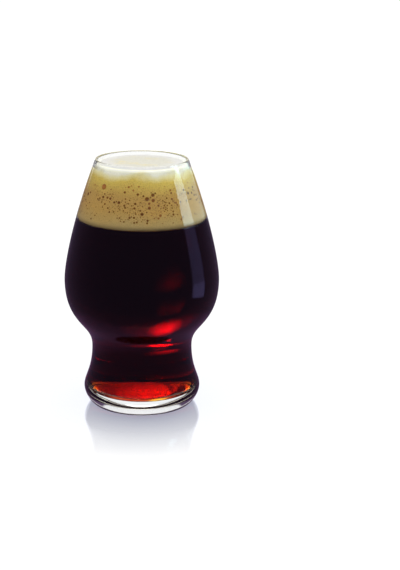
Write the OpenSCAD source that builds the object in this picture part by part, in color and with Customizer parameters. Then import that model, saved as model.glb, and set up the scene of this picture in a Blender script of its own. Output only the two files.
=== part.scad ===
// Tulip beer glass, poured: a one-piece blown glass with a tapering bowl, a drawn-in waist
// and a flared foot on a thick clear base, holding dark beer under a head of foam.
// Millimetres, +Z up, origin at the middle of the ring that the glass stands on.

/* [Outside of the glass] */
// Height of the glass, table to rim
glass_h = 150; // [140:0.5:165]
// Outside diameter at the rim
rim_d = 55.2; // [50:0.2:64]
// Outside diameter at the belly, the widest ring of the bowl
belly_d = 93; // [84:0.2:104]
// Height of the belly
belly_z = 76.8; // [72:0.2:86]
// Outside diameter at the waist, the narrow ring between bowl and foot
waist_d = 60.4; // [54:0.2:66]
// Height of the waist
waist_z = 36; // [33:0.2:42]
// Outside diameter of the foot at its widest
foot_d = 70.6; // [67:0.2:78]
// Height at which the foot is widest
foot_z = 10; // [8:0.25:14]
// Outside diameter of the ring that the glass stands on
base_d = 58; // [48:0.5:62]
// Width of the ring that the glass stands on
ring_w = 3; // [2:0.25:6]
// Height of the hollow under the base, at its middle
punt_h = 1.2; // [0.5:0.1:3]

/* [Sweep of the curves] */
// Length over which the heel leaves level at the standing ring
heel_reach = 2; // [1:0.2:4]
// Length over which the heel comes to upright below the widest ring of the foot
foot_drop = 4.5; // [1:0.25:6]
// Length over which the foot leaves upright on its way to the waist
foot_rise = 5.5; // [1:0.25:8]
// Length over which the waist comes back to upright from the foot
waist_drop = 15.75; // [8:0.25:17]
// Length over which the waist leaves upright on its way to the belly
waist_rise = 15; // [8:0.25:18]
// Length over which the belly comes back to upright from the waist
belly_drop = 26.5; // [18:0.25:30]
// Length over which the belly leaves upright on its way to the rim
belly_rise = 12.25; // [8:0.25:24]
// Length over which the wall settles to its lean below the rim
rim_drop = 29; // [8:0.25:32]
// Inward lean of the wall at the rim, in degrees from upright
rim_lean = 21.5; // [14:0.5:30]

/* [Wall of the glass] */
// Wall at the rim, which has a full round lip
rim_wall = 1.3; // [0.9:0.05:2.4]
// Wall at the belly
belly_wall = 1.6; // [1:0.1:3]
// Wall at the waist
waist_wall = 3.4; // [2:0.1:5]
// Height of the inside waist above the outside one
waist_lift = 3.5; // [0:0.25:5]
// Wall inside the foot
foot_wall = 4.2; // [3:0.1:6]
// Thickness of the base, table to inside floor
floor_t = 8.75; // [6:0.25:12]
// Width of the rounded corner between floor and wall
corner_w = 5; // [2:0.25:10]
// Height of the rounded corner between floor and wall
corner_h = 5; // [3:0.25:8]

/* [Beer and head] */
// Height of the beer's surface, where the foam starts
beer_z = 115; // [95:0.5:125]
// Drop from the rim to the top of the foam at the wall
foam_drop = 2.4; // [1:0.1:6]
// Rise of the foam from the wall to its middle
foam_dome = 1.2; // [0:0.1:2]
// Clearance between the wall and what the glass holds
fill_gap = 0.2; // [0.1:0.05:0.4]

/* [Bubbles at the wall] */
// Number of large bubbles that the foam holds against the glass
bubble_count = 72; // [12:1:120]
// Diameter of the smallest of them
bubble_d_min = 0.9; // [0.6:0.1:1.4]
// Diameter of the largest of them
bubble_d_max = 2.8; // [1.5:0.1:3.4]
// Share of its width by which a bubble's middle lies behind the face of the foam
bubble_sink = 0.25; // [0.15:0.05:0.35]
// Clearance between a bubble and the pocket that it sits in
bubble_gap = 0.05; // [0.03:0.01:0.1]
// Height of foam left free of large bubbles above the beer and below the top
bubble_margin = 3.5; // [2.5:0.25:6]

/* [Hidden] */
$fn = 96;
bubble_facets = 48;

// Steps along each sweep of the outline, along each rounded corner and round the lip
curve_steps = 22;
corner_steps = 10;
lip_steps = 8;

// The lip is a half round whose ends meet the leaning wall square on
lip_r = rim_wall / 2;
lip_mid = [rim_d / 2 - lip_r * cos(rim_lean), glass_h - lip_r];
lip_side = lip_r * [cos(rim_lean), sin(rim_lean)];
up_the_rim = [-sin(rim_lean), cos(rim_lean)];

// Top of the foam where it meets the wall
foam_z = glass_h - foam_drop;

// A cubic sweep is four points: start, two handles and end, each [radius, height]
function sweep_point(s, t) =
    pow(1 - t, 3) * s[0] + 3 * pow(1 - t, 2) * t * s[1]
    + 3 * (1 - t) * t * t * s[2] + pow(t, 3) * s[3];

function sweep_points(s) = [for (i = [1:curve_steps]) sweep_point(s, i / curve_steps)];

// Where along a rising sweep a height lies, by halving
function sweep_share(s, z, low = 0, high = 1, halvings = 30) =
    let (middle = (low + high) / 2)
    halvings == 0 ? middle
    : sweep_point(s, middle)[1] < z ? sweep_share(s, z, middle, high, halvings - 1)
    : sweep_share(s, z, low, middle, halvings - 1);

// An upright sweep leaves and reaches its ends without leaning
function upright_sweep(from, rise, drop, to) =
    [from, from + [0, rise], to - [0, drop], to];

// The sweep from the belly ends along the lean of the rim
function rim_sweep(belly, end) =
    [belly, belly + [0, belly_rise], end - rim_drop * up_the_rim, end];

// The heel leaves the standing ring level and reaches the foot upright
function heel_sweep(ring, foot) =
    [ring, ring + [heel_reach, 0], foot - [0, foot_drop], foot];

// The three sweeps of a wall: foot to waist, waist to belly, belly to rim
function wall_sweeps(foot, waist, belly, rim) = [
    upright_sweep(foot, foot_rise, waist_drop, waist),
    upright_sweep(waist, waist_rise, belly_drop, belly),
    rim_sweep(belly, rim)
];

function wall_points(sweeps) = [for (s = sweeps) each sweep_points(s)];

standing_ring = [base_d / 2, 0];
outer_foot = [foot_d / 2, foot_z];
heel = heel_sweep(standing_ring, outer_foot);
outer_sweeps = wall_sweeps(outer_foot, [waist_d / 2, waist_z], [belly_d / 2, belly_z],
                           lip_mid + lip_side);

inner_foot = [foot_d / 2 - foot_wall, floor_t + corner_h];
inner_waist = [waist_d / 2 - waist_wall, waist_z + waist_lift];
inner_sweeps = wall_sweeps(inner_foot, inner_waist, [belly_d / 2 - belly_wall, belly_z],
                           lip_mid - lip_side);

// The floor turns up into the wall by a quarter ellipse
floor_corner = [
    for (i = [0:corner_steps])
        let (a = 90 * i / corner_steps)
        [inner_foot[0] - corner_w * (1 - sin(a)), floor_t + corner_h * (1 - cos(a))]
];

lip = [
    for (i = [1:lip_steps - 1])
        let (a = rim_lean + 180 * i / lip_steps)
        lip_mid + lip_r * [cos(a), sin(a)]
];

// The hollow under the base is flat in the middle and rounds down to the standing ring
punt_r = base_d / 2 - ring_w;
punt = [
    for (i = [0:corner_steps])
        let (share = sin(90 * i / corner_steps))
        [punt_r * share, punt_h * (1 - pow(share, 6))]
];

// The inside of the glass, from the edge of the floor up to the lip
inside = concat(floor_corner, wall_points(inner_sweeps));

function reversed(list) = [for (i = [len(list) - 1:-1:0]) list[i]];

// Inside radius of the glass at a height above its floor corner
function inside_r(z) =
    let (s = z < inner_sweeps[0][3][1] ? inner_sweeps[0]
           : z < inner_sweeps[1][3][1] ? inner_sweeps[1] : inner_sweeps[2])
    sweep_point(s, sweep_share(s, z))[0];

// The edge of what the glass holds between two heights, clear of the wall
function fill_edge(low, high) = [
    for (p = inside) if (p[1] > low && p[1] < high) [p[0] - fill_gap, p[1]]
];

function fill_corner(z) = [inside_r(z) - fill_gap, z];

module glass() {
    color([0.85, 0.93, 0.96, 0.35])
    rotate_extrude()
    polygon(concat(
        punt, [standing_ring], sweep_points(heel), wall_points(outer_sweeps), lip,
        [lip_mid - lip_side], reversed(inside), [[0, floor_t]]
    ));
}

// The beer rests on the floor of the glass and fills the foot, the waist and most of the bowl
module beer() {
    floor_edge = [floor_corner[0][0] - fill_gap, floor_t];
    color([0.11, 0.02, 0.03])
    rotate_extrude()
    polygon(concat(
        [[0, floor_t], floor_edge], fill_edge(floor_t, beer_z), [fill_corner(beer_z), [0, beer_z]]
    ));
}

// The whole head, before the pockets of its large bubbles are taken out
module foam_body() {
    edge = fill_corner(foam_z);
    top = [
        for (i = [1:corner_steps])
            let (share = 1 - i / corner_steps)
            [edge[0] * share, foam_z + foam_dome * (1 - share * share)]
    ];
    rotate_extrude()
    polygon(concat([[0, beer_z], fill_corner(beer_z)], fill_edge(beer_z, foam_z), [edge], top));
}

// Three steady irrational steps scatter the bubbles round the wall, none touching another
function part_of_one(x) = x - floor(x);
function scatter(i, step) = part_of_one(0.5 + i * step);
turn_step = 0.38197;
height_step = 0.73205;
size_step = 0.70711;

// Most bubbles are small: the size follows the cube of an even spread
function bubble_d(i) =
    bubble_d_min + (bubble_d_max - bubble_d_min) * pow(scatter(i, size_step), 3);

function bubble_z(i) =
    beer_z + bubble_margin + (foam_z - beer_z - 2 * bubble_margin) * scatter(i, height_step);

// Lean of the inside wall around a height, over a bubble's width
function inside_lean(z) =
    let (half = bubble_d_max / 2)
    atan2(inside_r(z - half) - inside_r(z + half), 2 * half);

// Places a bubble on the face of the foam, with +X pointing square out of that face
module on_foam_face(i) {
    z = bubble_z(i);
    rotate([0, 0, 360 * scatter(i, turn_step)])
    translate([inside_r(z) - fill_gap, 0, z])
    rotate([0, -inside_lean(z), 0])
    children();
}

// A ball with its middle behind that face, and the seam of its surface turned inward
module sunk_ball(d, extra) {
    translate([-bubble_sink * d, 0, 0])
    rotate([0, 0, 180])
    sphere(d = d + extra, $fn = bubble_facets);
}

module foam_head() {
    color([0.85, 0.74, 0.52])
    difference() {
        foam_body();
        for (i = [0:1:bubble_count - 1])
            on_foam_face(i) sunk_ball(bubble_d(i), 2 * bubble_gap);
    }
}

// Each bubble is a turned ball, flat where the glass stops it, just short of the face of the foam
module foam_bubbles() {
    color([0.45, 0.27, 0.12])
    for (i = [0:1:bubble_count - 1]) {
        d = bubble_d(i);
        on_foam_face(i)
        rotate([0, 90, 0])
        rotate_extrude($fn = bubble_facets)
        intersection() {
            translate([0, -bubble_sink * d])
            circle(d = d, $fn = bubble_facets);
            translate([0, -2 * d - bubble_gap])
            square(2 * d);
        }
    }
}

glass();
beer();
foam_head();
foam_bubbles();
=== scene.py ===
"""The looks of a poured tulip beer glass: glass, dark beer, foam and bubbles, on a studio floor."""

import math
import random

import bpy
from bpy.props import FloatProperty, FloatVectorProperty, IntProperty, PointerProperty
from mathutils import Matrix, Vector


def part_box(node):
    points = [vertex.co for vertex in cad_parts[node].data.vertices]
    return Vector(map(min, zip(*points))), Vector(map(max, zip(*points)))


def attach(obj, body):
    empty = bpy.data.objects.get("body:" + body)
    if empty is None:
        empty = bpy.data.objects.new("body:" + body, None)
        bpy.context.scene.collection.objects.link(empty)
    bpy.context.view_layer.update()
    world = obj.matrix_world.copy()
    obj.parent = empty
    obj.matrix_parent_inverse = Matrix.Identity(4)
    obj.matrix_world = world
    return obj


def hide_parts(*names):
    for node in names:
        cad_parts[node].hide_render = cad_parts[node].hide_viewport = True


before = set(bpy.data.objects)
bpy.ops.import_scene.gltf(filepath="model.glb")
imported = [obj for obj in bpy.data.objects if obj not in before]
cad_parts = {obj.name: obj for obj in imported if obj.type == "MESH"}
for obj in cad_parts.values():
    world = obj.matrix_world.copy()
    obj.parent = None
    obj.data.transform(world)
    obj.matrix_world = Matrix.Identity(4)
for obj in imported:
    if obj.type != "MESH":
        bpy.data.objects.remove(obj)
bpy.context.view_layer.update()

bl_info = {
    "name": "Poured tulip glass",
    "version": (1, 0, 0),
    "blender": (4, 5, 0),
    "location": "View3D > Sidebar > Tulip glass",
    "description": "Builds a tulip beer glass with beer, foam and bubbles, and the studio around it",
    "category": "Object",
}

MM = 0.001
_, GLASS_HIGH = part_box("glass")
BEER_LOW, BEER_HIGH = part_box("beer")
_, FOAM_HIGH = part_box("foam_head")
FOAM_TOP = 147.6 * MM


# Properties

def length(name, description, default):
    """A size in metres."""
    return FloatProperty(name=name, description=description, default=default, unit="LENGTH", precision=5)


def angle(name, description, degrees):
    """A turn, kept in radians."""
    return FloatProperty(name=name, description=description, default=math.radians(degrees), subtype="ANGLE")


def colour(name, description, default):
    """A linear red, green and blue."""
    return FloatVectorProperty(
        name=name, description=description, default=default, subtype="COLOR", min=0.0, max=1.0
    )


def amount(name, description, default):
    """A plain number."""
    return FloatProperty(name=name, description=description, default=default, precision=4)


def count(name, description, default):
    """A whole number."""
    return IntProperty(name=name, description=description, default=default, min=1)


class GlassSettings(bpy.types.PropertyGroup):
    """Sizes and finish of the glass."""

    height: length("Height", "Table to rim", GLASS_HIGH.z)
    rim_width: length("Rim width", "Outside width at the rim", 55.2 * MM)
    belly_width: length("Belly width", "Outside width at the belly", 2 * GLASS_HIGH.x)
    belly_height: length("Belly height", "Height of the widest ring", 76.8 * MM)
    waist_width: length("Waist width", "Outside width at the waist", 60.4 * MM)
    waist_height: length("Waist height", "Height of the narrow ring", 36 * MM)
    foot_width: length("Foot width", "Outside width of the foot", 70.6 * MM)
    foot_height: length("Foot height", "Height at which the foot is widest", 10 * MM)
    base_width: length("Base width", "Outside width of the standing ring", 58 * MM)
    ring_width: length("Ring width", "Width of the standing ring", 3 * MM)
    punt_height: length("Punt height", "Hollow under the base, at its middle", 1.2 * MM)
    punt_power: count("Punt power", "How flat that hollow is in the middle, as a power", 6)
    heel_reach: length("Heel reach", "Length over which the heel leaves level", 2 * MM)
    foot_drop: length("Foot drop", "Sweep below the widest ring of the foot", 4.5 * MM)
    foot_rise: length("Foot rise", "Sweep above the widest ring of the foot", 5.5 * MM)
    waist_drop: length("Waist drop", "Sweep below the waist", 15.75 * MM)
    waist_rise: length("Waist rise", "Sweep above the waist", 15 * MM)
    belly_drop: length("Belly drop", "Sweep below the belly", 26.5 * MM)
    belly_rise: length("Belly rise", "Sweep above the belly", 12.25 * MM)
    rim_drop: length("Rim drop", "Sweep below the rim", 29 * MM)
    rim_lean: angle("Rim lean", "Inward lean of the wall at the rim", 21.5)
    rim_wall: length("Rim wall", "Wall at the rim", 1.3 * MM)
    belly_wall: length("Belly wall", "Wall at the belly", 1.6 * MM)
    waist_wall: length("Waist wall", "Wall at the waist", 3.4 * MM)
    waist_lift: length("Waist lift", "Height of the inside waist above the outside one", 3.5 * MM)
    foot_wall: length("Foot wall", "Wall inside the foot", 4.2 * MM)
    floor_height: length("Floor height", "Table to inside floor", BEER_LOW.z)
    corner_width: length("Corner width", "Rounded corner of the floor, across", 5 * MM)
    corner_height: length("Corner height", "Rounded corner of the floor, upright", 5 * MM)
    sweep_steps: count("Sweep steps", "Points along each sweep of the outline", 16)
    round_steps: count("Round steps", "Points round the lip, the corner and the punt", 8)
    turn_steps: count("Turn steps", "Steps of the spin round the axis", 128)
    tint: colour("Tint", "Colour of the glass in the clear", (0.985, 0.995, 0.995))
    haze: colour("Haze", "Colour of the glass where it is handled", (0.95, 0.965, 0.97))
    patch_scale: amount("Patch scale", "Handled patches per metre", 45.0)
    dulling: amount("Dulling", "Roughness where it is handled most", 0.012)
    bend: amount("Bend", "Refraction of the glass", 1.52)


class BeerSettings(bpy.types.PropertyGroup):
    """Fill and colour of the beer."""

    top: length("Top", "Height of the beer's surface", BEER_HIGH.z)
    wetting: length("Wetting", "How far the beer is drawn into the wall, to keep air out", 0.15 * MM)
    amber: colour("Amber", "Colour of a thin layer", (1.0, 0.95, 0.88))
    copper: colour("Copper", "Colour of a thin layer where it is cloudier", (0.97, 0.88, 0.76))
    cloud_scale: amount("Cloud scale", "Cloudier patches per metre", 30.0)
    passing: colour("Passing", "Light that the depth of the beer lets through", (0.876, 0.60, 0.1))
    depth: amount("Depth", "How quickly the beer darkens with depth, per metre", 450.0)
    bend: amount("Bend", "Refraction of the beer", 1.34)


class FoamSettings(bpy.types.PropertyGroup):
    """Size and colours of the head of foam."""

    top: length("Top", "Height of the foam at the wall", FOAM_TOP)
    dome: length("Dome", "Rise of the foam to its middle", FOAM_HIGH.z - FOAM_TOP)
    seat: length("Seat", "How far the foam is pressed into the wall", 0.12 * MM)
    lump_height: length("Lump height", "Unevenness of the top", 0.5 * MM)
    lump_size: length("Lump size", "Width of the lumps on the top", 5 * MM)
    skirt: length("Skirt", "How far the foam reaches down into the beer", 1.2 * MM)
    soak: length("Soak", "How far up the beer soaks the foam", 3 * MM)
    wave: length("Wave", "How far the bands of colour rise and fall", 9 * MM)
    patch_scale: amount("Patch scale", "Patches of colour at the glass, per metre", 70.0)
    froth_scale: amount("Froth scale", "Fine bubbles at the glass, per metre", 900.0)
    crown_patch_scale: amount("Crown patch scale", "Patches of gold on the top, per metre", 130.0)
    crown_scale: amount("Crown scale", "Bubbles on the top, per metre", 550.0)
    # The crown colours are set darker than the foam at the glass, a painted shade for the stronger light on
    # top; the crown shadow is painted shade between bubbles.
    crown: colour("Crown", "Top of the foam", (0.67, 0.65, 0.56))
    crown_shadow: colour("Crown shadow", "Between the bubbles on top of the foam", (0.5, 0.47, 0.4))
    crown_edge: colour("Crown edge", "Top of the foam, near the glass", (0.73, 0.72, 0.70))
    # Lit through is the colour of a painted glow in the foam just below the rim.
    lit_through: colour("Lit through", "Light that comes through the topmost foam", (1.0, 0.98, 0.9))
    # Cream is partly the foam's own paler colour and partly painted light from above.
    cream: colour("Cream", "Fresh foam at the rim", (0.99, 0.975, 0.82))
    straw: colour("Straw", "Foam just below the rim", (0.98, 0.9, 0.5))
    gold: colour("Gold", "Foam in the upper part", (0.87, 0.69, 0.16))
    tan: colour("Tan", "Foam at mid height", (0.68, 0.44, 0.125))
    olive: colour("Olive", "Foam above the beer", (0.61, 0.455, 0.175))
    soaked: colour("Soaked", "Foam that the beer has soaked", (0.20, 0.13, 0.055))


class BubbleSettings(bpy.types.PropertyGroup):
    """Scatter and colours of the bubbles at the wall."""

    scattered: count("Scattered", "Number of small bubbles all round", 1250)
    smallest: length("Smallest", "Radius of the smallest bubble", 0.18 * MM)
    largest: length("Largest", "Radius of the largest scattered bubble", 0.7 * MM)
    depth: amount("Depth", "Depth of a bubble as a share of its radius", 0.5)
    lowest: length("Lowest", "Height of the lowest bubbles", 117.5 * MM)
    middle: length("Middle", "Height at which most bubbles lie", 126 * MM)
    highest: length("Highest", "Height of the highest bubbles", 141 * MM)
    seed: count("Seed", "Start of the scatter", 11)
    umber: colour("Umber", "Colour of most bubbles", (0.23, 0.095, 0.022))
    amber: colour("Amber", "Colour of the clearest bubbles", (0.5, 0.2, 0.035))
    patch_scale: amount("Patch scale", "Patches of clearer bubbles per metre", 55.0)
    fresh_from: length("Fresh from", "Height from which more bubbles are clear", 135.8 * MM)
    fresh_by: length("Fresh by", "Height from which most bubbles are clear", 136.6 * MM)


class StageSettings(bpy.types.PropertyGroup):
    """Floor, light and camera."""

    floor_reach: length("Floor reach", "Half width of the floor", 6.0)
    floor_gap: length("Floor gap", "Air between the glass and the floor", 0.05 * MM)
    polish: amount("Polish", "Mirror strength of the floor at the glass", 0.88)
    polish_reach: length("Polish reach", "Distance at which the mirror has faded out", 97 * MM)
    soft_light: amount("Soft light", "Strength of the light from all round", 1.15)
    top_light: amount("Top light", "Brightness of the overhead softbox", 0.8)
    softbox_height: length("Softbox height", "Height of the softbox above the floor", 0.9)
    softbox_back: length("Softbox back", "How far behind the glass the softbox hangs", 0.1)
    softbox_aim: length("Softbox aim", "Height on the glass's axis that it is aimed at", 0.1)
    softbox_size: length("Softbox size", "Side of the square softbox", 0.5)
    upper_strip: amount("Upper strip", "Brightness of the strip light beside the foam", 4.9)
    lower_strip: amount("Lower strip", "Brightness of the strip light beside the beer", 0.22)
    light_distance: length("Light distance", "From the glass's axis to the upright lights", 0.12)
    strip_near: length("Strip near", "Front edge of the strip light", -49.5 * MM)
    strip_far: length("Strip far", "Rear edge of the strip light, where the fill starts", -4.5 * MM)
    strip_top: length("Strip top", "Top of the strip light", 180 * MM)
    strip_split: length("Strip split", "Height below which the strip light is brighter", 72 * MM)
    strip_low: length("Strip low", "Lower end of the strip light", 42 * MM)
    strip_edge: length("Strip edge", "Where foam and beer part in the strip's front edge", 135.4 * MM)
    strip_drop: length("Strip drop", "Fall of that edge along the strip", 8.3 * MM)
    strip_bands: count("Strip bands", "Bands of the strip light", 6)
    fill_far: length("Fill far", "Rear edge of the wide light", 139.5 * MM)
    fill_top: length("Fill top", "Top of the wide light", 166 * MM)
    fill_edge: length("Fill edge", "Lower end of the wide light at its front", 127.4 * MM)
    fill_drop: length("Fill drop", "Fall of that end along the wide light", 25.2 * MM)
    fill_bands: count("Fill bands", "Bands of the wide light", 8)
    fill_fading: amount("Fill fading", "Share of its light that each band loses", 0.08)
    side_fill: amount("Side fill", "Brightness of the wide light beside the foam", 1.4)
    strip_tint: colour("Strip tint", "Colour of the strip light beside the beer", (0.42, 0.38, 1.0))
    foam_tint: colour("Foam tint", "Colour of the lights beside the foam", (0.7, 0.97, 1.0))
    ember: colour("Ember", "The floor under the base, lit through the beer", (0.85, 0.10, 0.03))
    spark: colour("Spark", "Its brightest spot", (1.0, 0.56, 0.05))
    # Mirror tint is the colour of a painted glow that the floor adds where it mirrors the glass.
    mirror_tint: colour("Mirror tint", "Colour that the floor adds to its mirror image", (0.0, 0.02, 0.16))
    room: colour("Room", "The dark room, as the glass mirrors it", (0.097, 0.062, 0.12))
    floor_sheen: colour("Floor sheen", "The floor, as the glass mirrors it", (0.15, 0.075, 0.165))
    lamp_turn: angle("Lamp turn", "Place of the lamp behind the glass, to the right", -10.5)
    lamp_rise: angle("Lamp rise", "Place of the lamp behind the glass, upwards", 8.2)
    lamp_width: angle("Lamp width", "Half width of the lamp behind the glass", 9.5)
    lamp_height: angle("Lamp height", "Half height of the lamp behind the glass", 6.5)
    lamp_glow: amount("Lamp glow", "Brightness of that lamp, seen through the beer", 78.0)
    lamp_tint: colour("Lamp tint", "Colour of that lamp", (0.8, 0.28, 1.0))
    foot_glow: amount("Foot glow", "Brightness of the backdrop, seen by way of the base", 16.0)
    camera_distance: length("Camera distance", "Level distance from the glass's axis", 0.8)
    camera_height: length("Camera height", "Height of the lens above the floor", 0.2957)
    camera_pitch: angle("Camera pitch", "Downward tilt of the camera", 15.573)
    camera_turn: angle("Camera turn", "Turn of the camera to the right of the glass", 2.413)
    camera_lens: amount("Camera lens", "Focal length in millimetres", 86.93)


class TulipGlassSettings(bpy.types.PropertyGroup):
    """All that a user would change."""

    glass: PointerProperty(type=GlassSettings)
    beer: PointerProperty(type=BeerSettings)
    foam: PointerProperty(type=FoamSettings)
    bubbles: PointerProperty(type=BubbleSettings)
    stage: PointerProperty(type=StageSettings)


def settings():
    """The scene's own settings."""
    return bpy.context.scene.tulip_glass


# Outlines, as points of radius and height

def sweep(start, leaving, reaching, end, steps):
    """Points along a cubic sweep, without its start."""
    points = []
    for step in range(1, steps + 1):
        gone = step / steps
        left = 1 - gone
        points.append(
            start * left**3
            + leaving * (3 * left * left * gone)
            + reaching * (3 * left * gone * gone)
            + end * gone**3
        )
    return points


def up(distance):
    """A step straight up."""
    return Vector((0, distance))


def wall(glass, foot, waist, belly, rim):
    """One face of the wall, from the foot to just below the lip."""
    along_rim = Vector((-math.sin(glass.rim_lean), math.cos(glass.rim_lean)))
    steps = glass.sweep_steps
    return (
        sweep(foot, foot + up(glass.foot_rise), waist - up(glass.waist_drop), waist, steps)
        + sweep(waist, waist + up(glass.waist_rise), belly - up(glass.belly_drop), belly, steps)
        + sweep(belly, belly + up(glass.belly_rise), rim - along_rim * glass.rim_drop, rim, steps)
    )


def lip_middle(glass):
    """Middle of the round lip."""
    lip = glass.rim_wall / 2
    return Vector((glass.rim_width / 2 - lip * math.cos(glass.rim_lean), glass.height - lip))


def lip_side(glass):
    """From the middle of the lip to its outer side."""
    return Vector((math.cos(glass.rim_lean), math.sin(glass.rim_lean))) * (glass.rim_wall / 2)


def inside_outline(glass):
    """The inside of the glass, from the edge of its floor up to the lip."""
    foot = Vector((glass.foot_width / 2 - glass.foot_wall, glass.floor_height + glass.corner_height))
    corner = []
    for step in range(glass.round_steps + 1):
        turn = math.pi / 2 * step / glass.round_steps
        corner.append(
            foot
            - Vector((glass.corner_width * (1 - math.sin(turn)), glass.corner_height * math.cos(turn)))
        )
    waist = Vector((glass.waist_width / 2 - glass.waist_wall, glass.waist_height + glass.waist_lift))
    belly = Vector((glass.belly_width / 2 - glass.belly_wall, glass.belly_height))
    return corner + wall(glass, foot, waist, belly, lip_middle(glass) - lip_side(glass))


def glass_outline(glass):
    """The whole glass, from the middle of its underside to the middle of its inside floor."""
    punt_radius = glass.base_width / 2 - glass.ring_width
    punt = []
    for step in range(glass.round_steps + 1):
        share = math.sin(math.pi / 2 * step / glass.round_steps)
        punt.append(Vector((punt_radius * share, glass.punt_height * (1 - share**glass.punt_power))))
    ring = Vector((glass.base_width / 2, 0))
    foot = Vector((glass.foot_width / 2, glass.foot_height))
    leaving, reaching = ring + Vector((glass.heel_reach, 0)), foot - up(glass.foot_drop)
    heel = sweep(ring, leaving, reaching, foot, glass.round_steps)
    waist = Vector((glass.waist_width / 2, glass.waist_height))
    belly = Vector((glass.belly_width / 2, glass.belly_height))
    outside = wall(glass, foot, waist, belly, lip_middle(glass) + lip_side(glass))
    lip = []
    for step in range(1, glass.round_steps):
        turn = glass.rim_lean + math.pi * step / glass.round_steps
        lip.append(lip_middle(glass) + Vector((math.cos(turn), math.sin(turn))) * (glass.rim_wall / 2))
    inside = inside_outline(glass)[::-1]
    return punt + [ring] + heel + outside + lip + inside + [up(glass.floor_height)]


def pushed_out(points, distance):
    """The points of a line moved square to it, to its right as it runs."""
    moved = []
    for i, point in enumerate(points):
        before, after = points[max(i - 1, 0)], points[min(i + 1, len(points) - 1)]
        along = (after - before).normalized()
        moved.append(point + Vector((along.y, -along.x)) * distance)
    return moved


def inside_radius(inside, height):
    """Radius of the inside of the glass at a height."""
    for low, high in zip(inside, inside[1:]):
        if low.y <= height <= high.y:
            share = (height - low.y) / max(high.y - low.y, 1e-9)
            return low.x + (high.x - low.x) * share
    raise ValueError("the height is outside the glass")


def inside_between(inside, low, high):
    """The inside of the glass between two heights, ends included."""
    between = [point for point in inside if low < point.y < high]
    return (
        [Vector((inside_radius(inside, low), low))]
        + between
        + [Vector((inside_radius(inside, high), high))]
    )


# Modelling steps

def start_fresh():
    """Leaves nothing selected, in object mode."""
    if bpy.context.object and bpy.context.object.mode != "OBJECT":
        bpy.ops.object.mode_set(mode="OBJECT")
    bpy.ops.object.select_all(action="DESELECT")


def spun(name, outline, turn_steps):
    """A closed piece spun from an outline that starts and ends on the axis."""
    start_fresh()
    bpy.ops.mesh.primitive_plane_add(size=0.01, location=(0, 0, 0))
    piece = bpy.context.object
    piece.name = piece.data.name = name
    bpy.ops.object.mode_set(mode="EDIT")
    bpy.ops.mesh.select_all(action="SELECT")
    bpy.ops.mesh.merge(type="CENTER")
    bpy.ops.transform.translate(value=(outline[0].x, 0, outline[0].y))
    for before, point in zip(outline, outline[1:]):
        move = point - before
        bpy.ops.mesh.extrude_region_move(TRANSFORM_OT_translate={"value": (move.x, 0, move.y)})
    bpy.ops.mesh.select_all(action="SELECT")
    bpy.ops.mesh.spin(steps=turn_steps, angle=2 * math.pi, center=(0, 0, 0), axis=(0, 0, 1))
    bpy.ops.mesh.select_all(action="SELECT")
    bpy.ops.mesh.remove_doubles(threshold=1e-6)
    bpy.ops.mesh.normals_make_consistent(inside=False)
    bpy.ops.object.mode_set(mode="OBJECT")
    return piece


def smoothed(piece):
    """One round of subdivision, then smooth shading."""
    bpy.ops.object.modifier_add(type="SUBSURF")
    modifier = piece.modifiers[-1]
    modifier.levels = modifier.render_levels = 1
    bpy.ops.object.modifier_apply(modifier=modifier.name)
    bpy.ops.object.shade_smooth()


def finished(piece, material, body, node):
    """Gives a piece its material and its place in the frame."""
    piece.data.materials.clear()
    piece.data.materials.append(material)
    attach(piece, body)
    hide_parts(node)


# Node trees

class Value:
    """A socket whose arithmetic adds Math nodes."""

    def __init__(self, tree, socket):
        self.tree = tree
        self.socket = socket

    def calculated(self, operation, first, second):
        """The result of one Math node."""
        return self.tree.add("ShaderNodeMath", {"operation": operation}, {0: first, 1: second}, "Value")

    def __add__(self, other):
        return self.calculated("ADD", self, other)

    __radd__ = __add__

    def __sub__(self, other):
        return self.calculated("SUBTRACT", self, other)

    def __rsub__(self, other):
        return self.calculated("SUBTRACT", other, self)

    def __mul__(self, other):
        return self.calculated("MULTIPLY", self, other)

    __rmul__ = __mul__

    def __truediv__(self, other):
        return self.calculated("DIVIDE", self, other)


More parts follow.
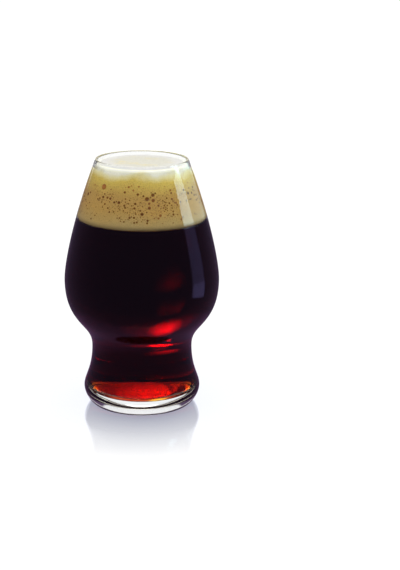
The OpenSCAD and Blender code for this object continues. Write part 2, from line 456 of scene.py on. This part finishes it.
class NodeTree:
    """Adds nodes to the tree of a material or a world."""

    def __init__(self, owner):
        owner.use_nodes = True
        self.tree = owner.node_tree
        self.tree.nodes.clear()
        in_world = isinstance(owner, bpy.types.World)
        self.output = "ShaderNodeOutputWorld" if in_world else "ShaderNodeOutputMaterial"

    def add(self, kind, options=None, sockets=None, output=None):
        """Adds a node, sets its options, then its sockets, and gives one output if it has any."""
        node = self.tree.nodes.new(kind)
        for name, value in (options or {}).items():
            if name == "stops":
                self.set_stops(node.color_ramp, value)
            else:
                setattr(node, name, value)
        for name, value in (sockets or {}).items():
            if isinstance(value, Value):
                self.tree.links.new(value.socket, node.inputs[name])
            else:
                node.inputs[name].default_value = value
        if not node.outputs:
            return None
        return Value(self, node.outputs[0 if output is None else output])

    @staticmethod
    def set_stops(ramp, stops):
        """Colours of a ramp, each at its place."""
        while len(ramp.elements) > 1:
            ramp.elements.remove(ramp.elements[-1])
        for i, (place, shade) in enumerate(stops):
            element = ramp.elements[0] if i == 0 else ramp.elements.new(place)
            element.position = place
            element.color = (*shade, 1)

    def place(self):
        """Object coordinates."""
        return self.add("ShaderNodeTexCoord", None, None, "Object")

    def split(self, vector):
        """The X, Y and Z of a vector."""
        parts = self.add("ShaderNodeSeparateXYZ", None, {"Vector": vector})
        node = parts.socket.node
        return [Value(self, node.outputs[axis]) for axis in "XYZ"]

    def noise(self, vector, scale, detail=2.0):
        """Soft noise between 0 and 1."""
        return self.add(
            "ShaderNodeTexNoise", None, {"Vector": vector, "Scale": scale, "Detail": detail}, "Fac"
        )

    def cells(self, vector, scale):
        """Distance from the edge of the nearest bubble."""
        return self.add(
            "ShaderNodeTexVoronoi",
            {"feature": "DISTANCE_TO_EDGE"},
            {"Vector": vector, "Scale": scale},
            "Distance",
        )

    def fade(self, value, start, end):
        """0 at start and 1 at end, eased."""
        return self.add(
            "ShaderNodeMapRange",
            {"interpolation_type": "SMOOTHSTEP"},
            {"Value": value, "From Min": start, "From Max": end},
            "Result",
        )

    def within(self, value, full, gone):
        """1 up to full and 0 from gone on, eased."""
        return 1 - self.fade(value, full, gone)

    def mixed(self, share, first, second):
        """A mix of two colours."""
        first, second = [
            shade if isinstance(shade, Value) else (*shade, 1) for shade in (first, second)
        ]
        return self.add("ShaderNodeMix", {"data_type": "RGBA"}, {0: share, 6: first, 7: second}, 2)

    def root(self, first, second):
        """Length of the flat vector of two numbers."""
        square = first * first + second * second
        return self.add("ShaderNodeMath", {"operation": "SQRT"}, {0: square}, "Value")

    def absolute(self, value):
        """A number without its sign."""
        return self.add("ShaderNodeMath", {"operation": "ABSOLUTE"}, {0: value}, "Value")

    def sector(self, x, y, spread, soft=0.05):
        """1 behind the glass, within a spread to either side, and 0 elsewhere."""
        return self.within(self.absolute(x) - y * spread, -soft, soft)

    def finish(self, surface, volume=None):
        """Joins the shaders to the output."""
        sockets = {"Surface": surface}
        if volume:
            sockets["Volume"] = volume
        self.add(self.output, None, sockets)


# Materials

def clear_glass(glass):
    """Clear glass, a touch greyer and duller in soft patches where it is handled."""
    material = bpy.data.materials.new("clear_glass")
    tree = NodeTree(material)
    patch_edge = (0.5, 0.75)
    handled = tree.fade(tree.noise(tree.place(), glass.patch_scale, detail=3.0), *patch_edge)
    shader = tree.add(
        "ShaderNodeBsdfPrincipled",
        None,
        {
            "Base Color": tree.mixed(handled, glass.tint, glass.haze),
            "Roughness": handled * glass.dulling,
            "IOR": glass.bend,
            "Transmission Weight": 1.0,
        },
    )
    tree.finish(shader)
    return material


def dark_beer(beer):
    """Beer that is red where it is thin and near black where it is deep."""
    material = bpy.data.materials.new("dark_beer")
    tree = NodeTree(material)
    cloudy = tree.noise(tree.place(), beer.cloud_scale)
    shader = tree.add(
        "ShaderNodeBsdfPrincipled",
        None,
        {
            "Base Color": tree.mixed(cloudy, beer.amber, beer.copper),
            "Roughness": 0.0,
            "IOR": beer.bend,
            "Transmission Weight": 1.0,
        },
    )
    darkening = tree.add(
        "ShaderNodeVolumeAbsorption", None, {"Color": (*beer.passing, 1), "Density": beer.depth}
    )
    tree.finish(shader, darkening)
    return material


def foam_at_glass(tree, foam, share, height, beer_top, cells):
    """Colour of the foam at the glass: cream at the rim, partly its own paler colour and partly painted
    light from above, gold and tan below, soaked at the beer.
    """
    stops = [
        (0.06, foam.olive),
        (0.3, foam.tan),
        (0.55, foam.tan),
        (0.82, foam.gold),
        (0.9, foam.straw),
        (0.96, foam.cream),
    ]
    cell_edge, fresh_start = (0.0, 0.25), (0.78, 0.95)
    grain_share, fresh_loss, soaked_share = 0.22, 0.2, 0.75
    bands = tree.add("ShaderNodeValToRGB", {"stops": stops}, {"Fac": share}, "Color")
    # Near the rim the grain fades out, so that the band of painted light stays bright.
    fresh = tree.fade(share, *fresh_start)
    grain = tree.fade(cells, *cell_edge) * (grain_share - fresh_loss * fresh)
    soaking = tree.within(height, beer_top, beer_top + foam.soak)
    return tree.mixed(soaking * soaked_share, tree.mixed(grain, bands, foam.soaked), foam.soaked)


def foam_on_top(tree, foam, place, radius):
    """Colour of the top of the foam: patches of gold, paler near the glass, with painted shade in the seams
    between bubbles.
    """
    gold_edge, glass_edge, seam_edge = (0.5, 0.72), (14 * MM, 23 * MM), (0.0, 0.22)
    gold_share, seam_share = 0.25, 0.3
    golden = tree.fade(tree.noise(place, foam.crown_patch_scale, detail=3.0), *gold_edge)
    # The crown colours are darker than the same foam at the glass: a painted shade that offsets the
    # stronger light on top.
    middle = tree.mixed(golden * gold_share, foam.crown, foam.gold)
    crown = tree.mixed(tree.fade(radius, *glass_edge), middle, foam.crown_edge)
    # Painted shade in the seams between the bubbles on top.
    seams = tree.within(tree.cells(place, foam.crown_scale), *seam_edge)
    return tree.mixed(seams * seam_share, crown, foam.crown_shadow)


def froth(foam, beer_top):
    """Foam with fine bubbles, and a painted glow just below the rim for the light that comes through the
    thin foam there.
    """
    material = bpy.data.materials.new("froth")
    tree = NodeTree(material)
    place = tree.place()
    x, y, height = tree.split(place)
    patches = tree.noise(place, foam.patch_scale, detail=3.0)
    share = (height + (patches - 0.5) * foam.wave - beer_top) / (foam.top - beer_top)
    cells = tree.cells(place, foam.froth_scale)
    crown_soft, rim_start, rim_end = 0.2 * MM, 1.6 * MM, 0.4 * MM
    thin_start, thin_glow, rim_glow = 0.92, 0.1, 0.18
    on_top = tree.fade(height, foam.top - crown_soft, foam.top + crown_soft)
    at_rim = tree.fade(height, foam.top - rim_start, foam.top - rim_end)
    # Painted glow: emission just below the rim, standing in for light from above that comes through the
    # foam.
    thin = (tree.fade(share, thin_start, 1.0) * thin_glow + at_rim * rim_glow) * (1 - on_top)
    bump = tree.add(
        "ShaderNodeBump", None, {"Strength": 0.25, "Distance": 0.3 * MM, "Height": cells}, "Normal"
    )
    shader = tree.add(
        "ShaderNodeBsdfPrincipled",
        None,
        {
            "Base Color": tree.mixed(
                on_top,
                foam_at_glass(tree, foam, share, height, beer_top, cells),
                foam_on_top(tree, foam, place, tree.root(x, y)),
            ),
            "Roughness": 0.55 + 0.2 * patches,
            "Specular IOR Level": 0.1,
            "Emission Color": tree.mixed(thin, (0, 0, 0), foam.lit_through),
            "Emission Strength": 1.0,
            "Normal": bump,
        },
    )
    tree.finish(shader)
    return material


def bubble_skin(bubbles):
    """Wet brown bubbles, some of them clearer and more orange."""
    material = bpy.data.materials.new("bubble_skin")
    tree = NodeTree(material)
    place = tree.place()
    _, _, height = tree.split(place)
    clear_start, fresh_gain = (0.58, 0.8), 0.4
    fresh = tree.fade(height, bubbles.fresh_from, bubbles.fresh_by)
    clear = tree.fade(tree.noise(place, bubbles.patch_scale) + fresh * fresh_gain, *clear_start)
    shader = tree.add(
        "ShaderNodeBsdfPrincipled",
        None,
        {"Base Color": tree.mixed(clear, bubbles.umber, bubbles.amber), "Roughness": 0.25 + 0.2 * clear},
    )
    tree.finish(shader)
    return material


class Rays:
    """Tells rays apart by what they have met, as shares of 0 or 1."""

    # Least number of faces that a ray passes to get into the beer, to leave it, and to cross the base too
    IN_BEER, PAST_BEER, PAST_BASE = 3, 5, 8

    def __init__(self, tree):
        self.tree = tree
        self.node = tree.add("ShaderNodeLightPath").socket.node
        passing = self.told("Is Transmission Ray")
        undulled = 1 - self.reached("Diffuse Depth", 1)
        clean = passing * undulled
        bounced = self.reached("Glossy Depth", 1)
        at_most_once = 1 - self.reached("Glossy Depth", 2)
        deep = self.reached("Transmission Depth", self.PAST_BEER)
        winding = self.reached("Transmission Depth", self.PAST_BASE)
        self.camera = self.told("Is Camera Ray")
        # Mirrored by the outside of something, with no dull surface on the way
        self.gloss = self.told("Is Glossy Ray") * (1 - passing) * undulled
        # Straight through clear glass, and straight through the beer too
        self.clear = clean * (1 - bounced) * (1 - deep)
        self.beer = clean * (1 - bounced) * deep * (1 - winding)
        # Thrown back inside the glass, and of those the ones thrown back once, in the edge of the beer
        self.thrown = clean * bounced * (1 - winding)
        in_beer = self.reached("Transmission Depth", self.IN_BEER)
        self.edge = clean * bounced * at_most_once * in_beer * (1 - deep)
        # Turned many times on the way through the base
        self.winding = clean * winding * at_most_once
        # All the rest: light on its way to a dull surface
        self.lighting = (1 - self.camera) * (1 - self.gloss) * (1 - clean)

    def told(self, name):
        """One of the light path's own answers."""
        return Value(self.tree, self.node.outputs[name])

    def reached(self, name, number):
        """Whether a count has reached a number."""
        return self.tree.fade(self.told(name), number - 0.6, number - 0.4)


def lamp_on_floor(tree, stage, x, y):
    """Share of the lamp behind the glass that the floor shows: two streaks towards it and a spot."""
    spread, soft = 0.09, 15 * MM
    near_start, near_end, far_start = (100 * MM, 150 * MM), (175 * MM, 230 * MM), (450 * MM, 900 * MM)
    spot_x, spot_y, spot_wide, spot_deep, spot_edge = -43 * MM, 320 * MM, 30 * MM, 60 * MM, (0.2, 1.0)
    near_share, far_share, spot_share = 0.1, 0.03, 0.06
    aside = tree.absolute(x - y * math.tan(stage.lamp_turn)) - y * spread
    near = tree.fade(y, *near_start) * tree.within(y, *near_end)
    far = tree.fade(y, *far_start)
    streaks = tree.within(aside, -soft, soft) * (near * near_share + far * far_share)
    off_spot = tree.root((x - spot_x) / spot_wide, (y - spot_y) / spot_deep)
    return streaks + tree.within(off_spot, *spot_edge) * spot_share


def ember_on_floor(tree, x, y, spark):
    """Brightness of the red light under the base: most in the front middle, less at the rear right."""
    front_edge, rear_start, right_start = (0, 20 * MM), (20 * MM, 30 * MM), (0, 6 * MM)
    side_start = (14 * MM, 25 * MM)
    glow, side_loss, rear_share = 0.9, 0.95, 0.6
    front = tree.within(y, *front_edge) * (1 - side_loss * tree.fade(tree.absolute(x), *side_start))
    rear = tree.fade(y, *rear_start) * tree.fade(x, *right_start) * rear_share
    return (front + rear) * (glow + spark)


def floor_in_glass(tree, stage, x, y, far):
    """Colour of the floor as the glass mirrors it: white far behind, dark around, a sheen close by."""
    far_spread = 0.3
    pool_y, pool_wide, pool_deep, pool_edge = 25 * MM, 112 * MM, 86 * MM, (0.85, 1.2)
    around = tree.mixed(far * tree.sector(x, y, far_spread), stage.room, (1, 1, 1))
    off_pool = tree.root(x / pool_wide, (y - pool_y) / pool_deep)
    return tree.mixed(tree.within(off_pool, *pool_edge), around, stage.floor_sheen)


def polished_floor(stage):
    """White floor that mirrors the glass close by, with a painted bluish glow in that mirror, and its own
    soft shadow.
    """
    base_edge, behind_start, far_start = (34 * MM, 40 * MM), (20 * MM, 40 * MM), (500 * MM, 800 * MM)
    spark_x, spark_y, spark_edge = 9.5 * MM, -21 * MM, (3 * MM, 8 * MM)
    whiteness, beer_glow, thrown_glow, thrown_spread, foot_share = 1.06, 0.15, 0.5, 0.5, 0.7
    shadow_share, grazing_start = 0.2, (0.1, 0.62)
    paint, polish_tint = (0.92, 0.92, 0.92, 1), (0.95, 0.96, 1, 1)
    material = bpy.data.materials.new("polished_floor")
    tree = NodeTree(material)
    rays = Rays(tree)
    x, y, _ = tree.split(tree.place())
    distance = tree.root(x, y)
    under = tree.within(distance, *base_edge)
    behind = tree.fade(y, *behind_start)
    far = tree.fade(y, *far_start)
    spark = tree.within(tree.root(x - spark_x, y - spark_y), *spark_edge)
    through_base = (rays.beer + rays.edge) * under
    shown = (
        rays.camera * whiteness
        + rays.clear
        + rays.beer * (1 - under) * (beer_glow + lamp_on_floor(tree, stage, x, y) * stage.lamp_glow)
        + rays.thrown * far * tree.sector(x, y, thrown_spread) * thrown_glow
        + through_base * ember_on_floor(tree, x, y, spark)
        + rays.winding * behind * (foot_share * stage.foot_glow)
        + rays.gloss
    )
    shade = tree.mixed(rays.beer, (1, 1, 1), stage.lamp_tint)
    shade = tree.mixed(rays.gloss, shade, floor_in_glass(tree, stage, x, y, far))
    shade = tree.mixed(through_base, shade, tree.mixed(spark, stage.ember, stage.spark))
    dull = tree.add("ShaderNodeBsdfDiffuse", None, {"Color": paint})
    white = tree.add("ShaderNodeEmission", None, {"Color": shade, "Strength": shown})
    lit = 1 - rays.lighting - rays.camera * shadow_share
    plain = tree.add("ShaderNodeMixShader", None, {0: lit, 1: dull, 2: white})
    shine = tree.add("ShaderNodeBsdfGlossy", None, {"Color": polish_tint, "Roughness": 0.03})
    # Painted bluish glow, added to the floor where it mirrors the glass close by.
    bloom = tree.add("ShaderNodeEmission", None, {"Color": (*stage.mirror_tint, 1)})
    mirror = tree.add("ShaderNodeAddShader", None, {0: shine, 1: bloom})
    facing = tree.add("ShaderNodeLayerWeight", None, {"Blend": 0.5}, "Facing")
    grazing = tree.fade(facing, *grazing_start)
    near = 1 - distance / stage.polish_reach
    strength = tree.add("ShaderNodeMath", {"operation": "MAXIMUM"}, {0: near, 1: 0.0}, "Value")
    polish = strength * grazing * (rays.camera * stage.polish)
    tree.finish(tree.add("ShaderNodeMixShader", None, {0: polish, 1: plain, 2: mirror}))
    return material


# Operators

class TULIP_OT_glass(bpy.types.Operator):
    """Spin the glass from its outline"""

    bl_idname = "tulip.glass"
    bl_label = "Glass"

    def execute(self, context):
        glass = settings().glass
        piece = spun("tulip_glass", glass_outline(glass), glass.turn_steps)
        smoothed(piece)
        finished(piece, clear_glass(glass), "glass", "glass")
        return {"FINISHED"}


class TULIP_OT_beer(bpy.types.Operator):
    """Spin the beer that fills the glass up to the foam"""

    bl_idname = "tulip.beer"
    bl_label = "Beer"

    # Points close round the upper edge, which keep it crisp, from that edge in millimetres
    EDGE = ((0.1, -0.3), (0, 0), (-0.3, 0), (-2, 0))

    def execute(self, context):
        glass, beer = settings().glass, settings().beer
        inside = inside_outline(glass)
        side = pushed_out(
            [point for point in inside if point.y < beer.top]
            + [Vector((inside_radius(inside, beer.top), beer.top))],
            beer.wetting,
        )
        edge = side.pop()
        edge.y = beer.top
        rim = [edge + Vector(step) * MM for step in self.EDGE]
        outline = [up(side[0].y)] + side + rim + [up(beer.top)]
        piece = spun("dark_beer", outline, glass.turn_steps)
        smoothed(piece)
        finished(piece, dark_beer(beer), "contents", "beer")
        return {"FINISHED"}


class TULIP_OT_foam(bpy.types.Operator):
    """Spin the head of foam and roughen its top"""

    bl_idname = "tulip.foam"
    bl_label = "Foam"

    # Size of the rounded shoulder, and its points from the wall at the top in millimetres
    SHOULDER_HEIGHT, SHOULDER_WIDTH = 2.6 * MM, 1.3 * MM
    SHOULDER = ((0.25, -1.6), (-0.1, -0.8), (-0.6, -0.25))
    # How far from the wall the flat of the skirt ends, and a point on the slope from there
    SKIRT_FLAT, SKIRT_SLOPE = 2.5 * MM, 1 * MM
    # How quickly the lumps grow, away from the wall
    LUMP_GROWTH = 6

    def execute(self, context):
        glass, foam, beer = settings().glass, settings().foam, settings().beer
        inside = inside_outline(glass)
        side = pushed_out(inside_between(inside, beer.top, foam.top - self.SHOULDER_HEIGHT), foam.seat)
        corner = Vector((inside_radius(inside, foam.top), foam.top))
        side += [corner + Vector(step) * MM for step in self.SHOULDER]
        edge = corner - Vector((self.SHOULDER_WIDTH, 0))
        rings = 2 * glass.round_steps
        top = []
        for ring in range(rings + 1):
            share = 1 - ring / rings
            top.append(Vector((edge.x * share, foam.top + foam.dome * (1 - share * share))))
        low = beer.top - foam.skirt
        bottom = [
            up(low),
            Vector((side[0].x - self.SKIRT_FLAT, low)),
            Vector((side[0].x - self.SKIRT_SLOPE, low + foam.skirt / 3)),
        ]
        piece = spun("head_of_foam", bottom + side + top, glass.turn_steps)
        smoothed(piece)
        self.roughen_top(piece, foam)
        finished(piece, froth(foam, beer.top), "contents", "foam_head")
        return {"FINISHED"}

    def roughen_top(self, piece, foam):
        """Low lumps on the top, none at the wall."""
        widest = max(vertex.co.xy.length for vertex in piece.data.vertices if vertex.co.z > foam.top)
        group = piece.vertex_groups.new(name="top")
        for vertex in piece.data.vertices:
            if vertex.co.z > foam.top:
                away = 1 - vertex.co.xy.length / widest
                group.add([vertex.index], min(1.0, self.LUMP_GROWTH * away), "REPLACE")
        lumps = bpy.data.textures.new("lumps", "CLOUDS")
        lumps.noise_scale = foam.lump_size
        lumps.noise_depth = 3
        bpy.ops.object.modifier_add(type="DISPLACE")
        modifier = piece.modifiers[-1]
        modifier.texture = lumps
        modifier.texture_coords = "LOCAL"
        modifier.direction = "Z"
        modifier.strength = 2 * foam.lump_height
        modifier.mid_level = 0.5
        modifier.vertex_group = group.name
        bpy.ops.object.modifier_apply(modifier=modifier.name)


class TULIP_OT_bubbles(bpy.types.Operator):
    """Press bubbles of many sizes against the glass"""

    bl_idname = "tulip.bubbles"
    bl_label = "Bubbles"

    # Large bubbles at the front, each as turn in degrees, height and radius in millimetres
    LARGE = (
        (-44, 137.4, 1.7), (11, 134.5, 1.0), (5, 132.4, 1.2), (11, 131.6, 1.05), (7, 129.9, 0.7),
        (7, 127.5, 0.95), (0, 124.2, 0.9), (-23, 129.9, 0.85), (-33, 131.6, 0.75), (-42, 131.8, 0.75),
        (-18, 135.8, 0.7), (17, 123.1, 0.8), (5, 120.7, 0.65), (54, 133.1, 0.9), (35, 129.3, 0.65),
        (120, 130, 1.1), (128, 126, 0.9), (162, 133, 1.2), (205, 127, 1.0), (231, 135, 1.4),
        (240, 129, 0.9), (270, 124, 0.8), (292, 131, 1.0),
    )
    # Radius on which distances between bubbles are measured, and their least share of both radii
    WALL_RADIUS = 33 * MM
    SPACING = 1.1
    # Faces round each bubble and from pole to pole
    SEGMENTS, RINGS = 10, 6

    def execute(self, context):
        glass, foam, bubbles = settings().glass, settings().foam, settings().bubbles
        inside = pushed_out(inside_outline(glass), foam.seat)
        start_fresh()
        bpy.ops.mesh.primitive_uv_sphere_add(
            segments=self.SEGMENTS, ring_count=self.RINGS, radius=1, location=(0, 0, 0)
        )
        pattern = bpy.context.object
        bpy.ops.object.mode_set(mode="EDIT")
        bpy.ops.mesh.select_all(action="SELECT")
        bpy.ops.transform.resize(value=(1, 1, bubbles.depth))
        bpy.ops.object.mode_set(mode="OBJECT")
        bpy.ops.object.shade_smooth()
        copies = []
        for turn, height, radius in self.places(bubbles):
            copy = pattern.copy()
            copy.data = pattern.data.copy()
            copy.matrix_world = self.seated(inside, turn, height, radius)
            context.collection.objects.link(copy)
            copies.append(copy)
        bpy.data.objects.remove(pattern)
        start_fresh()
        for copy in copies:
            copy.select_set(True)
        context.view_layer.objects.active = copies[0]
        bpy.ops.object.join()
        piece = context.object
        piece.name = piece.data.name = "foam_bubbles_at_wall"
        bpy.ops.object.transform_apply(location=True, rotation=True, scale=True)
        finished(piece, bubble_skin(bubbles), "contents", "foam_bubbles")
        return {"FINISHED"}

    def places(self, bubbles):
        """Turn, height and radius of every bubble, none on another."""
        made = [(math.radians(turn), height * MM, radius * MM) for turn, height, radius in self.LARGE]
        draw = random.Random(bubbles.seed)
        while len(made) < len(self.LARGE) + bubbles.scattered:
            turn = draw.uniform(-math.pi, math.pi)
            height = draw.triangular(bubbles.lowest, bubbles.highest, bubbles.middle)
            radius = bubbles.smallest + (bubbles.largest - bubbles.smallest) * draw.random() ** 3
            kept = draw.random() < self.crowd(turn, height)
            if kept and all(self.clear(place, turn, height, radius) for place in made):
                made.append((turn, height, radius))
        return made

    @staticmethod
    def crowd(turn, height):
        """Share of the bubbles that stay: half, more in three wide clumps and seven slanting ones."""
        wide = 0.3 * math.sin(3 * turn + 1.2)
        slanting = 0.2 * math.sin(7 * turn + height / MM / 3)
        return 0.5 + wide + slanting

    @classmethod
    def clear(cls, place, turn, height, radius):
        """Whether a bubble keeps off another."""
        other_turn, other_height, other_radius = place
        across = (turn - other_turn + math.pi) % (2 * math.pi) - math.pi
        apart = math.hypot(across * cls.WALL_RADIUS, height - other_height)
        return apart > cls.SPACING * (radius + other_radius)

    @staticmethod
    def seated(inside, turn, height, radius):
        """Where a bubble of that radius lies flat against the wall."""
        at = inside_radius(inside, height)
        lean = math.atan2(at - inside_radius(inside, height + 1 * MM), 1 * MM)
        to_front = Matrix.Rotation(turn - math.pi / 2, 4, "Z")
        to_wall = Matrix.Translation((at, 0, height))
        square_on = Matrix.Rotation(math.pi / 2 - lean, 4, "Y")
        return to_front @ to_wall @ square_on @ Matrix.Scale(radius, 4)


class TULIP_OT_stage(bpy.types.Operator):
    """Lay the floor, hang the lights and set the camera"""

    bl_idname = "tulip.stage"
    bl_label = "Stage"

    def execute(self, context):
        stage = settings().stage
        self.lay_floor(stage)
        self.light_room(context, stage)
        self.hang_softbox(stage)
        self.stand_strip(stage)
        self.set_camera(context, stage)
        context.scene.view_settings.view_transform = "Standard"
        return {"FINISHED"}

    @staticmethod
    def lay_floor(stage):
        """A plain floor just under the glass."""
        start_fresh()
        bpy.ops.mesh.primitive_plane_add(size=2 * stage.floor_reach, location=(0, 0, -stage.floor_gap))
        floor = bpy.context.object
        floor.name = floor.data.name = "floor"
        floor.data.materials.append(polished_floor(stage))

    def light_room(self, context, stage):
        """Soft light from all round, white seen through the glass, and a dark room in what shines."""
        world = bpy.data.worlds.new("studio")
        context.scene.world = world
        tree = NodeTree(world)
        rays = Rays(tree)
        x, y, z = tree.split(tree.add("ShaderNodeTexCoord", None, None, "Generated"))
        beer_glow, foot_base, foot_low, steep_gain, steep_spread = 0.3, 0.6, 0.5, 1.8, 0.25
        rear_start, ceiling_start, backdrop_spread = (0.0, 0.2), (0.45, 0.6), 0.7
        corner_start, corner_rise = (0.0, 0.15), (0.2, 0.28)
        high = self.risen(tree, z, 14, 22)
        steep = self.risen(tree, z, 33, 40) * tree.sector(x, y, steep_spread)
        lamp = self.lamp_behind(tree, stage, x, y, z)
        foot = self.behind_foot(tree, x, y, z) * (foot_low + high * (1 - foot_low))
        strength = (
            rays.lighting * stage.soft_light
            + rays.camera
            + rays.gloss
            + rays.clear
            + rays.beer * (beer_glow + lamp * stage.lamp_glow)
            + rays.thrown * tree.fade(y, *rear_start) * (high + steep * steep_gain)
            + rays.winding * (foot_base + foot * stage.foot_glow)
        )
        corners = tree.fade(y, *corner_start) * tree.fade(z, *corner_rise)
        off_backdrop = (1 - tree.sector(x, y, backdrop_spread)) * tree.within(z, *ceiling_start)
        dark = (rays.gloss + rays.clear * corners) * off_backdrop
        shade = tree.mixed(rays.beer, tree.mixed(dark, (1, 1, 1), stage.room), stage.lamp_tint)
        tree.finish(tree.add("ShaderNodeBackground", None, {"Color": shade, "Strength": strength}))

    @staticmethod
    def risen(tree, z, low, high):
        """0 up to one angle above level and 1 from another on, in degrees."""
        return tree.fade(z, math.sin(math.radians(low)), math.sin(math.radians(high)))

    @staticmethod
    def lamp_behind(tree, stage, x, y, z):
        """The lamp behind the glass, with a faint halo and a faint ledge of light above it."""
        halo_squeeze, halo_edge, halo_share = 0.5, (0.3, 1.2), 0.05
        ledge_slope, ledge_start, ledge_side = 0.175, (0.296, 0.299), (-0.1, 0.15)
        ledge_spread, ledge_soft, ledge_share = 0.3, 0.02, 0.2
        across = (x - y * math.tan(stage.lamp_turn)) / math.tan(stage.lamp_width)
        upright = (z - math.sin(stage.lamp_rise)) / math.sin(stage.lamp_height)
        lamp = tree.within(tree.root(across, upright), 0.0, 1.0)
        halo = tree.within(tree.root(across * halo_squeeze, upright), *halo_edge)
        above = tree.fade(z - tree.absolute(x) * ledge_slope, *ledge_start)
        ledge = above * tree.within(x, *ledge_side) * tree.sector(x, y, ledge_spread, ledge_soft)
        return lamp + halo * halo_share + ledge * ledge_share

    @staticmethod
    def behind_foot(tree, x, y, z):
        """The backdrop as the base shows it: dim to +X, a dark bar to -X, half the light past it."""
        bar_place, bar_slope, bar_edge, bar_loss = 0.15, 0.26, (0.008, 0.03), 0.75
        past_start, past_loss = (0.0, 0.02), 0.5
        side_start, side_loss = (-0.05, 0.27), 0.92
        end_place, end_slope, end_edge = 0.245, 0.1, (-0.01, 0.02)
        past_bar = 0 - x - y * (bar_place + bar_slope * z)
        bar = tree.within(tree.absolute(past_bar), *bar_edge)
        side = 1 - side_loss * tree.fade(x, *side_start)
        past = 1 - past_loss * tree.fade(past_bar, *past_start)
        end = tree.within(0 - x - y * (end_place + end_slope * z), *end_edge)
        return side * past * end * (1 - bar * bar_loss)

    @staticmethod
    def lamp(name, place, aim, wide, tall, brightness, tint=(1, 1, 1)):
        """An area light of that size and brightness, aimed at a point."""
        start_fresh()
        bpy.ops.object.light_add(type="AREA", location=place)
        lamp = bpy.context.object
        lamp.name = lamp.data.name = name
        lamp.data.shape = "RECTANGLE"
        lamp.data.size, lamp.data.size_y = wide, tall
        lamp.data.energy = brightness * math.pi * wide * tall
        lamp.data.color = tint
        lamp.rotation_euler = (Vector(aim) - Vector(place)).to_track_quat("-Z", "Y").to_euler()
        lamp.visible_camera = False

    def hang_softbox(self, stage):
        """A square softbox overhead, a little behind the glass."""
        place, aim = (0, stage.softbox_back, stage.softbox_height), (0, 0, stage.softbox_aim)
        self.lamp("softbox", place, aim, stage.softbox_size, stage.softbox_size, stage.top_light)

    def stand_strip(self, stage):
        """Upright lights close by on the right: bright beside the foam, dim beside the beer."""
        fill = self.bands(
            stage.strip_far, stage.fill_far, stage.fill_edge, stage.fill_drop, stage.fill_bands
        )
        strip = self.bands(
            stage.strip_near, stage.strip_far, stage.strip_edge, stage.strip_drop, stage.strip_bands
        )
        upper, lower, end = stage.upper_strip, stage.lower_strip, 2 * stage.lower_strip
        foam_tint, strip_tint = stage.foam_tint, stage.strip_tint
        lights = []
        for band, (near, far, edge) in enumerate(fill):
            brightness = (1 - stage.fill_fading * band) * stage.side_fill
            lights.append(("side_fill", near, far, edge, stage.fill_top, brightness, foam_tint))
        for near, far, edge in strip:
            lights += [
                ("upper_strip", near, far, edge, stage.strip_top, upper, foam_tint),
                ("lower_strip", near, far, stage.strip_split, edge, lower, strip_tint),
                ("strip_end", near, far, stage.strip_low, stage.strip_split, end, strip_tint),
            ]
        for name, near, far, low, high, brightness, tint in lights:
            y, z = (near + far) / 2, (low + high) / 2
            place = (stage.light_distance, y, z)
            self.lamp(name, place, (0, y, z), far - near, high - low, brightness, tint)

    @staticmethod
    def bands(near, far, edge, drop, number):
        """Bands side by side, each with the height of a slanting edge at its middle."""
        width = (far - near) / number
        return [
            (near + band * width, near + (band + 1) * width, edge - drop * (band + 0.5) / number)
            for band in range(number)
        ]

    @staticmethod
    def set_camera(context, stage):
        """The photograph's view, with the glass left of the middle."""
        start_fresh()
        bpy.ops.object.camera_add(location=(0, -stage.camera_distance, stage.camera_height))
        camera = bpy.context.object
        camera.name = camera.data.name = "camera"
        tilt = Matrix.Rotation(math.pi / 2 - stage.camera_pitch, 3, "X")
        turn = Matrix.Rotation(-stage.camera_turn, 3, "Y")
        camera.rotation_euler = (tilt @ turn).to_euler()
        camera.data.lens = stage.camera_lens
        camera.data.clip_end = 5 * stage.floor_reach
        context.scene.camera = camera


class TULIP_PT_build(bpy.types.Panel):
    """Lists what can be built and its settings"""

    bl_label = "Tulip glass"
    bl_space_type = "VIEW_3D"
    bl_region_type = "UI"
    bl_category = "Tulip glass"

    def draw(self, context):
        layout = self.layout
        for operator in OPERATORS:
            layout.operator(operator.bl_idname)
        for group in ("glass", "beer", "foam", "bubbles", "stage"):
            column = layout.box().column()
            owner = getattr(context.scene.tulip_glass, group)
            for name in owner.bl_rna.properties.keys():
                if name not in ("rna_type", "name"):
                    column.prop(owner, name)


OPERATORS = (TULIP_OT_glass, TULIP_OT_beer, TULIP_OT_foam, TULIP_OT_bubbles, TULIP_OT_stage)
GROUPS = (
    GlassSettings,
    BeerSettings,
    FoamSettings,
    BubbleSettings,
    StageSettings,
    TulipGlassSettings,
)
CLASSES = (*GROUPS, *OPERATORS, TULIP_PT_build)


def register():
    for cls in CLASSES:
        bpy.utils.register_class(cls)
    bpy.types.Scene.tulip_glass = PointerProperty(type=TulipGlassSettings)


def unregister():
    del bpy.types.Scene.tulip_glass
    for cls in reversed(CLASSES):
        bpy.utils.unregister_class(cls)


def main():
    register()
    bpy.ops.tulip.glass()
    bpy.ops.tulip.beer()
    bpy.ops.tulip.foam()
    bpy.ops.tulip.bubbles()
    bpy.ops.tulip.stage()


if __name__ == "__main__":
    main()
